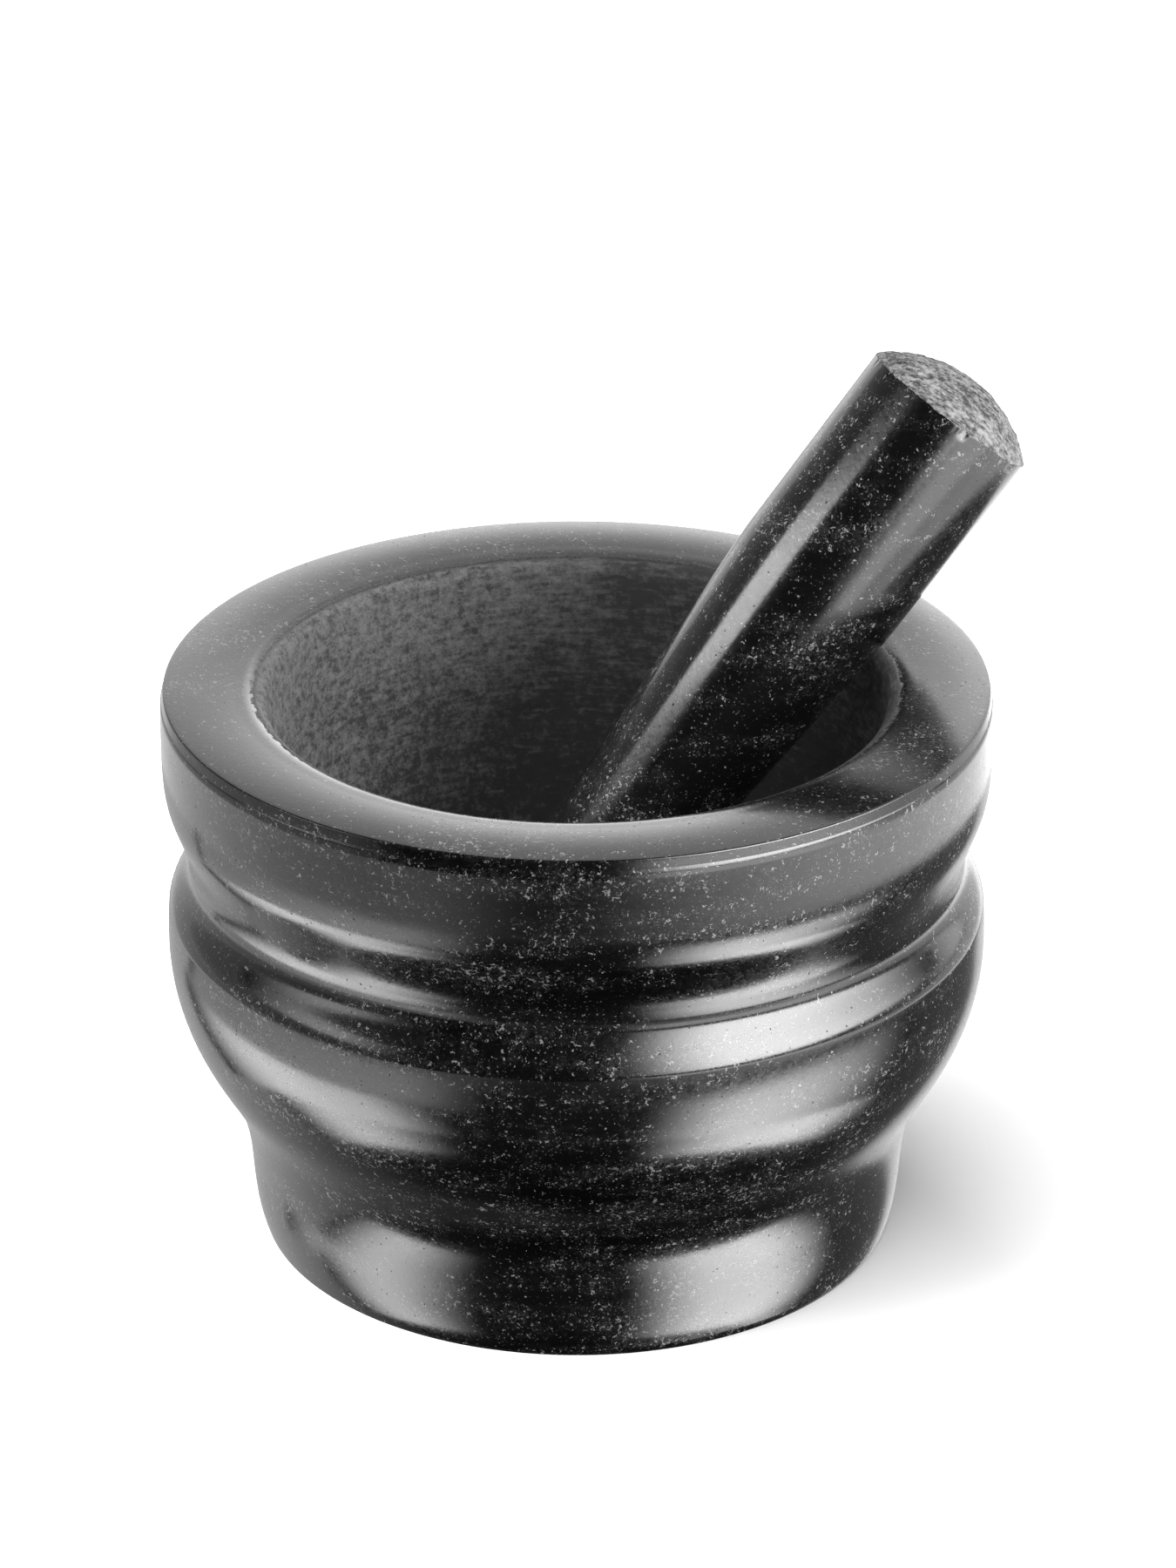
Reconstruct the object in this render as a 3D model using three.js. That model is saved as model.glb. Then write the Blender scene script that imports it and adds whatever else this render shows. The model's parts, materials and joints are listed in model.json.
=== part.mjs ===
// A lathe-turned granite mortar with its loose pestle, in millimetres, +Z up.
// The origin is the middle of the flat underside of the foot, where the mortar stands.
// The pestle stands in the bowl as it is left between uses: the narrow handle end rests
// on the bowl floor, the shaft leans on the lip, and the domed working end points up.
import * as THREE from "three";

// ---- mortar: driving dimensions ----
const HEIGHT = 113; // outer edge of the rim above the table
const RIM_RADIUS = 79.3; // outer edge of the rim's top face
const BAND_RADIUS = 80; // widest point of the whole mortar, on the rim band
const BEVEL_DROP = 2.2; // steep bevel that breaks the rim's outer edge
const BEVEL_RADIUS = 79.85;
const CROWN = 0.4; // how far the rim's top face rises between its edges
const LIP_RADIUS = 62.6; // inner edge of the rim's top face
const WALL_RADIUS = 59.7; // top of the inner wall, below the rounded lip
const LIP_DROP = 3;
const BOWL_RADIUS = 57.9; // round bottom of the bowl
const BOWL_CENTRE = 86.8; // height of the centre of that round bottom

const BAND_WAIST = 101; // height where the rim band is widest
const BAND_FOOT = { r: 77.5, z: 86.5 }; // underside of the rim band runs into the groove
const GROOVE = { r: 75.1, z: 77.3 }; // deepest point of the groove
const ARRIS = { r: 79.35, z: 68.3 }; // crisp edge at the top of the belly
const BELLY = { r: 79.6, z: 60.7 }; // widest point of the belly
const FLARE = { r: 71.2, z: 34.5 }; // belly turns into the hollow neck
const NECK = { r: 65.3, z: 20.2 }; // neck turns into the foot
const FOOT_EDGE = { r: 62.7, z: 1.2 };
const BASE_RADIUS = 62.3; // flat underside

const UNDERSIDE_SLOPE = 0.38; // mm of radius per mm of height, under the rim band
const SHOULDER_SLOPE = -0.3; // above the arris
const FLARE_SLOPE = 0.62; // steepest part of the belly's underside
const NECK_SLOPE = 0.19;
const FOOT_SLOPE = 0.3;

// ---- pestle: driving dimensions ----
const PESTLE_LENGTH = 159; // handle tip to the arris round the working end
const DOME_HEIGHT = 7; // working end above that arris
const HEAD_RADIUS = 17.8; // at the arris
const SHANK = { r: 17.55, s: 118 }; // the shaft starts to taper here
const HANDLE = { r: 12.3, s: 12 }; // narrow end, where its rounding starts
const PESTLE_TILT = 38.6; // degrees from vertical
const PESTLE_HEADING = 16.3; // degrees from +X towards +Y
const HEAD_CENTRE = [71.8, 23.4, 159.55]; // middle of the arris circle

const BOWL_SIDES = 48;
const PESTLE_SIDES = 36;

const degrees = THREE.MathUtils.degToRad;
const point = (r, z) => new THREE.Vector2(r, z);

// A curve between two points whose slope (radius per height) is given at both ends.
function blend(from, slopeFrom, reachFrom, to, slopeTo, reachTo) {
  return new THREE.CubicBezierCurve(
    from,
    point(from.x + slopeFrom * reachFrom, from.y + reachFrom),
    point(to.x - slopeTo * reachTo, to.y - reachTo),
    to,
  );
}

// The arc between two points that bulges by rise to the right of the line joining them.
function archPoints(from, to, rise, steps) {
  const chord = from.distanceTo(to);
  const radius = (chord * chord) / (8 * rise) + rise / 2;
  const half = Math.asin(chord / 2 / radius);
  const along = to.clone().sub(from).normalize();
  const right = point(along.y, -along.x);
  const middle = from.clone().add(to).multiplyScalar(0.5);
  const centre = middle.addScaledVector(right, rise - radius);
  const points = [];
  for (let i = 0; i <= steps; i += 1) {
    const angle = half * ((2 * i) / steps - 1);
    points.push(
      centre
        .clone()
        .addScaledVector(right, radius * Math.cos(angle))
        .addScaledVector(along, radius * Math.sin(angle)),
    );
  }
  return points;
}

// Joins the stretches of an outline, leaving out the point that two of them share.
function outline(...stretches) {
  const points = [];
  for (const stretch of stretches) {
    const last = points.at(-1);
    const fresh = last && last.distanceTo(stretch[0]) < 1e-6 ? stretch.slice(1) : stretch;
    points.push(...fresh);
  }
  return points;
}

// Turns an outline round +Z. The outline is (radius, height) and runs from axis to axis.
function turned(points, sides) {
  const onAxis = points.map((p) => point(p.x < 1e-9 ? 0 : p.x, p.y));
  return new THREE.LatheGeometry(onAxis, sides).rotateX(Math.PI / 2);
}

// Foot, neck and belly, from the flat underside up to the arris.
function lowerBody() {
  const base = point(BASE_RADIUS, 0);
  const footEdge = point(FOOT_EDGE.r, FOOT_EDGE.z);
  const neck = point(NECK.r, NECK.z);
  const flare = point(FLARE.r, FLARE.z);
  const belly = point(BELLY.r, BELLY.z);
  const arris = point(ARRIS.r, ARRIS.z);
  return outline(
    [point(0, 0), base, footEdge],
    blend(footEdge, FOOT_SLOPE, 6, neck, NECK_SLOPE, 7).getPoints(4),
    blend(neck, NECK_SLOPE, 6, flare, FLARE_SLOPE, 5.5).getPoints(5),
    blend(flare, FLARE_SLOPE, 6.9, belly, 0, 10.7).getPoints(6),
    new THREE.QuadraticBezierCurve(belly, point(BELLY.r, 64.6), arris).getPoints(2),
  );
}

// Shoulder, groove and rim band, from the arris up to the rim's outer edge.
function upperBody() {
  const arris = point(ARRIS.r, ARRIS.z);
  const groove = point(GROOVE.r, GROOVE.z);
  const underside = point(BAND_FOOT.r, BAND_FOOT.z);
  const band = point(BAND_RADIUS, BAND_WAIST);
  const bevel = point(BEVEL_RADIUS, HEIGHT - BEVEL_DROP);
  return outline(
    blend(arris, SHOULDER_SLOPE, 3.6, groove, 0, 3.1).getPoints(6),
    blend(groove, 0, 3, underside, UNDERSIDE_SLOPE, 3).getPoints(4),
    blend(underside, UNDERSIDE_SLOPE, 4.5, band, 0, 9).getPoints(6),
    new THREE.QuadraticBezierCurve(band, point(BAND_RADIUS, 106), bevel).getPoints(2),
    [bevel, point(RIM_RADIUS, HEIGHT)],
  );
}

// Crowned rim face, rounded lip, inner wall and round bowl, down to the bowl floor.
function rimAndBowl() {
  const rimEdge = point(RIM_RADIUS, HEIGHT);
  const lip = point(LIP_RADIUS, HEIGHT);
  const wallTop = point(WALL_RADIUS, HEIGHT - LIP_DROP);
  const lipCorner = point(WALL_RADIUS, HEIGHT);
  const bowl = [];
  for (let i = 0; i <= 10; i += 1) {
    const angle = (Math.PI / 2) * (i / 10);
    bowl.push(
      point(BOWL_RADIUS * Math.cos(angle), BOWL_CENTRE - BOWL_RADIUS * Math.sin(angle)),
    );
  }
  return outline(
    archPoints(rimEdge, lip, CROWN, 3),
    new THREE.QuadraticBezierCurve(lip, lipCorner, wallTop).getPoints(3),
    [wallTop, bowl[0]],
    bowl,
  );
}

// The pestle stands on its handle tip, its axis along +Z.
function pestleOutline() {
  const handle = point(HANDLE.r, HANDLE.s);
  const shank = point(SHANK.r, SHANK.s);
  const head = point(HEAD_RADIUS, PESTLE_LENGTH);
  const tip = [];
  for (let i = 0; i <= 5; i += 1) {
    const angle = (Math.PI / 2) * (i / 5);
    tip.push(point(HANDLE.r * Math.sin(angle), HANDLE.s * (1 - Math.cos(angle))));
  }
  const shaft = new THREE.CubicBezierCurve(handle, point(12, 54), point(16.4, 90), shank);
  const farSide = point(-HEAD_RADIUS, PESTLE_LENGTH);
  const dome = archPoints(head, farSide, DOME_HEIGHT, 12).slice(0, 7);
  return outline(tip, shaft.getPoints(8), [shank, head], dome);
}

function stone(colour, roughness) {
  return new THREE.MeshStandardMaterial({ color: colour, roughness, metalness: 0 });
}

function makeMortar() {
  const geometry = turned(outline(lowerBody(), upperBody(), rimAndBowl()), BOWL_SIDES);
  const mortar = new THREE.Mesh(geometry, stone(0x2e2e2e, 0.2));
  mortar.name = "mortar_bowl";
  return mortar;
}

// The pestle leans: its group is turned so that its axis points up along the lean.
function makePestle() {
  const pestle = new THREE.Mesh(
    turned(pestleOutline(), PESTLE_SIDES),
    stone(0x343434, 0.22),
  );
  pestle.name = "pestle";
  const tilt = degrees(PESTLE_TILT);
  const heading = degrees(PESTLE_HEADING);
  const axis = new THREE.Vector3(
    Math.sin(tilt) * Math.cos(heading),
    Math.sin(tilt) * Math.sin(heading),
    Math.cos(tilt),
  );
  const lean = new THREE.Group();
  lean.quaternion.setFromUnitVectors(new THREE.Vector3(0, 0, 1), axis);
  lean.position.fromArray(HEAD_CENTRE).addScaledVector(axis, -PESTLE_LENGTH);
  lean.add(pestle);
  return lean;
}

const molcajete = new THREE.Group();
molcajete.add(makeMortar(), makePestle());

export default molcajete;
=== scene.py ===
"""Black granite mortar, turned and polished, with its loose pestle standing in the bowl.

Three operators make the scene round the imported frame: one turns the mortar, one turns the
pestle, and one sets the table, the lamps and the camera.
"""

import json
import math

import bmesh
import bpy
from bpy.props import FloatProperty, FloatVectorProperty, IntProperty, PointerProperty
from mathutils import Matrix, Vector, noise


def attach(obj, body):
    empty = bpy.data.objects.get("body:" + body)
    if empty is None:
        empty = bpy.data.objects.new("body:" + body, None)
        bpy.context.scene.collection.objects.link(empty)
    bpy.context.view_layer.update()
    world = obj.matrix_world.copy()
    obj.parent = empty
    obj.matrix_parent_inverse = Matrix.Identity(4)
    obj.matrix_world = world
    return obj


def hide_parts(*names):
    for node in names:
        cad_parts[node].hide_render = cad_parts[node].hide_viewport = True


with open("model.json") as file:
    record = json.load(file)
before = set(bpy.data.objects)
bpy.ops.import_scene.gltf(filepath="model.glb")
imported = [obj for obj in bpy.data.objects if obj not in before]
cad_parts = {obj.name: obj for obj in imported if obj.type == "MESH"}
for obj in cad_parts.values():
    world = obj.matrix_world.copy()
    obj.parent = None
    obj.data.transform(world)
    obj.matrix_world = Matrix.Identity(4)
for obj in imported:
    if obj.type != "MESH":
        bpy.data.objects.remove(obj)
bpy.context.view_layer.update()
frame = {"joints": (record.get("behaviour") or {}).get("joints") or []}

bl_info = {
    "name": "Granite mortar and pestle",
    "version": (1, 0, 0),
    "blender": (4, 5, 0),
    "location": "View3D > Sidebar > Mortar",
    "description": "Turns a polished granite mortar and its pestle and lights them on a table",
    "category": "Object",
}

MM = 0.001

# ---- mortar outline, in millimetres: radius r and height z above the table ----
RIM_CROWN = 0.4  # the rim's top face rises this much between its edges
RIM_RADIUS = 79.3  # outer edge of the rim's top face
BEVEL = {"drop": 2.05, "radius": 79.68}  # steep bevel that breaks that edge
STEP = {"drop": 2.3, "radius": 79.84}  # tiny turned step under the bevel
LIP_RADIUS = 65.4  # inner edge of the rim's top face, where the lip starts to round over
WALL_RADIUS = 59.7  # top of the inner wall, below the rounded lip
LIP_DROP = 3
BOWL_RADIUS = 57.9  # round bottom of the bowl
BOWL_CENTRE = 86.8  # height of the centre of that round bottom
BAND = (80, 101)  # widest point of the rim band
BAND_TOP = (80, 106)
BAND_FOOT = (77.5, 86.5)  # underside of the rim band runs into the groove
GROOVE = (75.1, 77.3)
ARRIS = (79.35, 68.3)  # crisp edge at the top of the belly
ARRIS_UNDER = (79.6, 64.6)
BELLY = (79.6, 60.7)
FLARE = (71.2, 34.5)  # belly turns into the hollow neck
NECK = (65.3, 20.2)  # neck turns into the foot
FOOT_EDGE = (62.7, 1.2)
BASE_RADIUS = 62.3
UNDERSIDE_SLOPE = 0.38  # radius per height
SHOULDER_SLOPE = -0.3
FLARE_SLOPE = 0.62
NECK_SLOPE = 0.19
FOOT_SLOPE = 0.3

# ---- pestle outline, in millimetres: radius r and distance s from the handle tip ----
PESTLE_LENGTH = 159  # handle tip to the arris round the working end
DOME_HEIGHT = 7
HEAD_RADIUS = 17.8
SHANK = (17.55, 118)  # the shaft starts to taper here
HANDLE = (12.3, 12)  # narrow end, where its rounding starts
DRESSED_EDGE = 0.25  # the dressing of the working end runs this far over the arris
HEAD_CENTRE = (71.8, 23.4, 159.55)  # middle of the arris circle, in the frame

# ---- how far hand work leaves each surface off its true shape: noise features per mm ----
DRIFT_ROUND = 0.018  # runout of the outside, slow round the mortar
DRIFT_UP = 0.09  # and quicker up it
DRIFT_FREE = {"foot": 1.5, "rim": 2.6}  # mm at the foot and the rim's edge that stay true
ROUGHING_COARSE = 0.42  # dents of the roughing wheel in the bowl
ROUGHING_FINE = 0.95
ROUGHING_RINGS = 0.8  # grooves that run round the bowl
ROUGHING_SHARE = {"coarse": 0.55, "fine": 0.5, "rings": 0.35}  # of the bowl's relief
ROUGHING_START = {"above_wall_top": 0.4, "fade": 2.2}  # mm over which the relief grows
DRESSING_GRIT = 1.9  # grit on the pestle's crown
CHIP_BITES = 7  # round the edge of the pestle's crown
CHIP_NICKS = 21
CHIP_REACH = 2.4  # mm from that edge

# ---- the polished stone ----
GRANITE_IOR = 1.55

# ---- the bowl's wear and its painted light and shade, in metres from the mortar's foot and axis ----
FROST_AND_LIGHT_RISES = (0.05, 0.104)  # heights between which the wall turns frosty and is painted lighter: painted light as well as frost
FROST_AND_LIGHT_SIDES = (0.03, -0.055)  # from the side that the pestle rubs, painted darker as its shade, to the lit side opposite, painted paler
COARSE_SIDES = (0.01, -0.045)  # the roughing marks grow coarser between these
COARSENESS = (2.0, 5.2)
LIP_WANDER = 0.0022  # how far the end of the lip's polish wanders up and down


def hex_to_linear(code):
    """The linear colour of an sRGB hex code such as 1c1c1d."""
    values = [int(code[i : i + 2], 16) / 255 for i in (0, 2, 4)]
    return tuple(v / 12.92 if v <= 0.04045 else ((v + 0.055) / 1.055) ** 2.4 for v in values)


def colour_property(label, text, code):
    """A colour that the panel shows, with its default given as a hex code."""
    return FloatVectorProperty(
        name=label, description=text, subtype="COLOR", size=3, min=0, max=1,
        default=hex_to_linear(code),
    )


def length_property(label, text, millimetres):
    """A length that the panel shows, kept in metres, with its default in millimetres."""
    return FloatProperty(
        name=label, description=text, unit="LENGTH", min=0, default=millimetres * MM, precision=5,
    )


# ---------------------------------------------------------------- outlines


def bezier(start, control_a, control_b, end, steps):
    """Points along a cubic curve, both ends included."""
    points = []
    for i in range(steps + 1):
        t = i / steps
        u = 1 - t
        weights = (u**3, 3 * u * u * t, 3 * u * t * t, t**3)
        corners = (start, control_a, control_b, end)
        points.append(tuple(sum(w * c[k] for w, c in zip(weights, corners)) for k in (0, 1)))
    return points


def blend(start, slope_start, reach_start, end, slope_end, reach_end, steps):
    """A curve between two points whose slope (radius per height) is given at both ends."""
    control_a = (start[0] + slope_start * reach_start, start[1] + reach_start)
    control_b = (end[0] - slope_end * reach_end, end[1] - reach_end)
    return bezier(start, control_a, control_b, end, steps)


def bow(start, corner, end, steps):
    """A curve that leaves towards a corner and arrives from it."""
    control_a = tuple(a + (c - a) * 2 / 3 for a, c in zip(start, corner))
    control_b = tuple(b + (c - b) * 2 / 3 for b, c in zip(end, corner))
    return bezier(start, control_a, control_b, end, steps)


def line(start, end, steps):
    """Evenly spaced points on a straight line."""
    return [
        tuple(a + (b - a) * i / steps for a, b in zip(start, end)) for i in range(steps + 1)
    ]


def joined(*stretches):
    """One outline from several stretches, without the points that two of them share."""
    points = []
    for stretch in stretches:
        for p in stretch:
            if not points or math.dist(points[-1], p) > 1e-6:
                points.append(p)
    return points


def ease_corner(points, corner, reach, steps=5):
    """Rounds the outline where it turns at a corner, over a reach on either side of it."""
    inside = [i for i, p in enumerate(points) if math.dist(p, corner) < reach]
    first, last = inside[0], inside[-1]
    ends = []
    for near, far in ((first, first - 1), (last, last + 1)):
        a, b = Vector(points[near]), Vector(points[far])
        gap = reach - (a - Vector(corner)).length
        ends.append(tuple(a + (b - a).normalized() * min(gap, (b - a).length * 0.9)))
    return points[:first] + bow(ends[0], corner, ends[1], steps) + points[last + 1 :]


def mortar_outline(height):
    """The mortar's outline from the middle of the foot round to the middle of the bowl."""
    foot = joined(
        line((0, 0), (BASE_RADIUS, 0), 12),
        line((BASE_RADIUS, 0), FOOT_EDGE, 1),
        blend(FOOT_EDGE, FOOT_SLOPE, 6, NECK, NECK_SLOPE, 7, 12),
        blend(NECK, NECK_SLOPE, 6, FLARE, FLARE_SLOPE, 5.5, 10),
        blend(FLARE, FLARE_SLOPE, 6.9, BELLY, 0, 10.7, 14),
        bow(BELLY, ARRIS_UNDER, ARRIS, 5),
    )
    bevel = (BEVEL["radius"], height - BEVEL["drop"])
    step = (STEP["radius"], height - STEP["drop"])
    rim_edge = (RIM_RADIUS, height)
    band = joined(
        blend(ARRIS, SHOULDER_SLOPE, 3.6, GROOVE, 0, 3.1, 10),
        blend(GROOVE, 0, 3, BAND_FOOT, UNDERSIDE_SLOPE, 3, 10),
        blend(BAND_FOOT, UNDERSIDE_SLOPE, 4.5, BAND, 0, 9, 12),
        bow(BAND, BAND_TOP, step, 6),
        line(step, bevel, 2),
        line(bevel, rim_edge, 3),
    )
    lip = (LIP_RADIUS, height)
    middle = ((RIM_RADIUS + LIP_RADIUS) / 2, height + 2 * RIM_CROWN)
    wall_top = (WALL_RADIUS, height - LIP_DROP)
    rim = joined(
        bow(rim_edge, middle, lip, 14),
        bow(lip, (WALL_RADIUS + 1.2, height - 0.1), wall_top, 9),
        line(wall_top, (BOWL_RADIUS, BOWL_CENTRE), 24),
    )
    rings = 76
    bowl = []
    for i in range(rings + 1):
        angle = math.pi / 2 * i / rings
        bowl.append((BOWL_RADIUS * math.cos(angle), BOWL_CENTRE - BOWL_RADIUS * math.sin(angle)))
    points = joined(foot, band, rim, bowl)
    for corner, reach in ((FOOT_EDGE, 0.5), (ARRIS, 0.45), (rim_edge, 0.3), (bevel, 0.12)):
        points = ease_corner(points, corner, reach)
    return points


def pestle_outline():
    """The pestle's outline from the handle tip to the crown of the working end."""
    radius, start = HANDLE
    tip = []
    for i in range(13):
        angle = math.pi / 2 * i / 12
        tip.append((radius * math.sin(angle), start * (1 - math.cos(angle))))
    shaft = bezier(HANDLE, (12, 54), (16.4, 90), SHANK, 54)
    head = (HEAD_RADIUS, PESTLE_LENGTH)
    neck = line(SHANK, (HEAD_RADIUS - 0.02, PESTLE_LENGTH - 4), 18)
    edge = line((HEAD_RADIUS - 0.02, PESTLE_LENGTH - 4), head, 16)
    sphere = (HEAD_RADIUS**2 + DOME_HEIGHT**2) / (2 * DOME_HEIGHT)
    spread = math.asin(HEAD_RADIUS / sphere)
    rings = 52
    dome = []
    for i in range(rings + 1):
        angle = spread * (1 - i / rings)
        rise = sphere * math.cos(angle) - (sphere - DOME_HEIGHT)
        dome.append((sphere * math.sin(angle), PESTLE_LENGTH + rise))
    points = joined(tip, shaft, neck, edge, dome)
    return ease_corner(points, head, 0.35)


def turned_mesh(name, outline, sides, shape):
    """Turns an outline round +Z into a closed mesh. shape(r, angle, z) gives each point, in mm."""
    mesh = bmesh.new()
    rings = []
    for r, z in outline:
        if r < 1e-6:
            rings.append([mesh.verts.new(Vector(shape(0, 0, z)) * MM)])
            continue
        angles = [2 * math.pi * i / sides for i in range(sides)]
        rings.append([mesh.verts.new(Vector(shape(r, a, z)) * MM) for a in angles])
    for low, high in zip(rings, rings[1:]):
        for i in range(sides):
            j = (i + 1) % sides
            corners = [low[i % len(low)], low[j % len(low)], high[j % len(high)], high[i % len(high)]]
            mesh.faces.new(list(dict.fromkeys(corners)))
    bmesh.ops.recalc_face_normals(mesh, faces=mesh.faces)
    for face in mesh.faces:
        face.smooth = True
    data = bpy.data.meshes.new(name)
    mesh.to_mesh(data)
    mesh.free()
    piece = bpy.data.objects.new(name, data)
    bpy.context.scene.collection.objects.link(piece)
    return piece


def smooth_step(low, high, value):
    """0 below low, 1 above high, and a smooth rise between them."""
    t = min(max((value - low) / (high - low), 0), 1)
    return t * t * (3 - 2 * t)


# ---------------------------------------------------------------- materials


TIMES = {"operation": "MULTIPLY"}
TIMES_PLUS = {"operation": "MULTIPLY_ADD"}
PLUS = {"operation": "ADD"}
MINUS = {"operation": "SUBTRACT"}
CLAMPED = {"operation": "MULTIPLY_ADD", "use_clamp": True}
COLOURS = {"data_type": "RGBA"}
EASED = {"interpolation_type": "SMOOTHSTEP"}


def add(tree, kind, settings=None, **sockets):
    """Adds a node with its settings. A socket is named in_0, in_1 or by its label in lower case,
    and takes a value, another node's socket, or a node for its first socket."""
    node = tree.nodes.new(kind)
    for name, value in (settings or {}).items():
        setattr(node, name, value)
    labels = {s.name.lower().replace(" ", "_"): s for s in reversed(node.inputs)}
    for name, value in sockets.items():
        socket = node.inputs[int(name[3:])] if name.startswith("in_") else labels[name]
        if isinstance(value, bpy.types.Node):
            value = value.outputs[0]
        if isinstance(value, bpy.types.NodeSocket):
            tree.links.new(value, socket)
        else:
            socket.default_value = value
    return node


def rgba(colour):
    """A socket's colour from a property's."""
    return (*colour, 1)


def new_material(name):
    """An empty node material, its tree and its Principled shader, linked to the output."""
    material = bpy.data.materials.new(name)
    material.use_nodes = True
    tree = material.node_tree
    tree.nodes.clear()
    shader = add(tree, "ShaderNodeBsdfPrincipled")
    add(tree, "ShaderNodeOutputMaterial", surface=shader)
    shader.inputs["IOR"].default_value = GRANITE_IOR
    return material, tree, shader


def per_mm(millimetres):
    """The texture scale whose features are that many millimetres apart."""
    return 1 / (millimetres * MM)


def scattered_grains(tree, place, spacing, least, most, chance):
    """Grains strewn at random: a mask, and a random shade for each grain. Only the share
    of the cells given by chance holds a grain, and its radius lies between least and most, as
    parts of the spacing."""
    cells = add(tree, "ShaderNodeTexVoronoi", vector=place, scale=per_mm(spacing))
    dice = add(tree, "ShaderNodeSeparateColor", color=cells.outputs["Color"]).outputs
    held = add(tree, "ShaderNodeMath", {"operation": "LESS_THAN"}, in_0=dice[0], in_1=chance)
    reach = add(tree, "ShaderNodeMath", TIMES_PLUS, in_0=dice[1], in_1=most - least, in_2=least)
    inside = add(tree, "ShaderNodeMath", MINUS, in_0=reach, in_1=cells.outputs["Distance"])
    disc = add(
        tree, "ShaderNodeMapRange", EASED, in_0=inside, in_1=0.0, in_2=0.12, in_3=0.0, in_4=1.0
    )
    return add(tree, "ShaderNodeMath", TIMES, in_0=disc, in_1=held), dice[2]


def polished_granite(name, stone, seed):
    """Black granite, turned, honed and polished: near-black crystals under a wet-looking gloss
    that mirrors the lamps, with fine pale flecks where feldspar lies at the surface, and pits
    that show as dark dots inside the highlights."""
    material, tree, shader = new_material(name)
    here = add(tree, "ShaderNodeTexCoord").outputs["Object"]
    place = add(tree, "ShaderNodeVectorMath", PLUS, in_0=here, in_1=(seed, seed, seed))
    warp = add(tree, "ShaderNodeTexNoise", vector=place, scale=per_mm(0.9), detail=2.0)
    shift = add(
        tree, "ShaderNodeVectorMath", TIMES_PLUS,
        in_0=warp.outputs["Color"], in_1=(0.0006, 0.0006, 0.0006), in_2=place,
    )
    cloud = add(
        tree, "ShaderNodeTexNoise", vector=place, scale=per_mm(11), detail=4.0, roughness=0.65
    )
    # the block's faint bedding: level bands where the flecks crowd together
    bedding = add(tree, "ShaderNodeMapping", vector=place, scale=(0.12, 0.12, 1.0))
    bands = add(
        tree, "ShaderNodeTexNoise", vector=bedding, scale=per_mm(5), detail=3.0, roughness=0.6
    )
    crowd = add(tree, "ShaderNodeMath", PLUS, in_0=cloud, in_1=bands)
    crowd = add(
        tree, "ShaderNodeMapRange", EASED, in_0=crowd, in_1=0.85, in_2=1.25, in_3=0.0, in_4=1.0
    )

    # a rougher warp breaks the flecks' outlines up
    tear = add(tree, "ShaderNodeTexNoise", vector=place, scale=per_mm(0.4), detail=2.0)
    crumpled = add(
        tree, "ShaderNodeVectorMath", TIMES_PLUS,
        in_0=tear.outputs["Color"], in_1=(0.0007, 0.0007, 0.0007), in_2=shift,
    )

    # crystals: each has its own shade of near-black
    crystals = add(tree, "ShaderNodeTexVoronoi", vector=shift, scale=per_mm(0.8))
    tone = add(tree, "ShaderNodeSeparateColor", color=crystals.outputs["Color"]).outputs[0]
    haze = add(tree, "ShaderNodeMath", TIMES, in_0=tone, in_1=crowd)
    colour = add(
        tree, "ShaderNodeMix", COLOURS,
        in_0=haze, in_6=rgba(stone.dark_crystal), in_7=rgba(stone.grey_crystal),
    ).outputs[2]
    # specks: up to a third of a millimetre across
    chance = add(tree, "ShaderNodeMath", TIMES_PLUS, in_0=crowd, in_1=0.5, in_2=0.08)
    mask, shade = scattered_grains(tree, crumpled, 0.32, 0.2, 0.62, chance)
    mask = add(tree, "ShaderNodeMath", TIMES, in_0=mask, in_1=shade)
    colour = add(
        tree, "ShaderNodeMix", COLOURS, in_0=mask, in_6=colour, in_7=rgba(stone.speck)
    ).outputs[2]
    # flakes: larger and rarer, up to half a millimetre across
    chance = add(tree, "ShaderNodeMath", TIMES_PLUS, in_0=crowd, in_1=0.3, in_2=0.03)
    mask, shade = scattered_grains(tree, crumpled, 0.62, 0.1, 0.42, chance)
    mask = add(tree, "ShaderNodeMath", TIMES, in_0=mask, in_1=shade)
    colour = add(
        tree, "ShaderNodeMix", COLOURS, in_0=mask, in_6=colour, in_7=rgba(stone.flake)
    ).outputs[2]
    # slivers: thin bright worms, broken up by a second noise
    ridges = add(
        tree, "ShaderNodeTexNoise", {"noise_type": "RIDGED_MULTIFRACTAL", "normalize": False},
        vector=crumpled, scale=per_mm(1.15), detail=2.0, roughness=0.6, gain=2.0, offset=0.9,
    )
    worm = add(
        tree, "ShaderNodeMapRange", EASED,
        in_0=ridges, in_1=stone.sliver_threshold, in_2=stone.sliver_threshold + 0.12,
        in_3=0.0, in_4=1.0,
    )
    breaks = add(tree, "ShaderNodeTexNoise", vector=place, scale=per_mm(1.2), detail=1.0)
    floor = add(tree, "ShaderNodeMath", TIMES_PLUS, in_0=crowd, in_1=-0.16, in_2=0.66)
    gate = add(tree, "ShaderNodeMath", MINUS, in_0=breaks, in_1=floor)
    gate = add(
        tree, "ShaderNodeMapRange", EASED, in_0=gate, in_1=0.0, in_2=0.06, in_3=0.0, in_4=1.0
    )
    sliver = add(tree, "ShaderNodeMath", TIMES, in_0=worm, in_1=gate)
    colour = add(
        tree, "ShaderNodeMix", COLOURS, in_0=sliver, in_6=colour, in_7=rgba(stone.sliver)
    ).outputs[2]
    # bright grains: a few, well apart
    grain, _ = scattered_grains(tree, crumpled, 1.5, 0.05, 0.2, 0.14)
    colour = add(
        tree, "ShaderNodeMix", COLOURS, in_0=grain, in_6=colour, in_7=rgba(stone.bright_grain)
    ).outputs[2]
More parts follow.
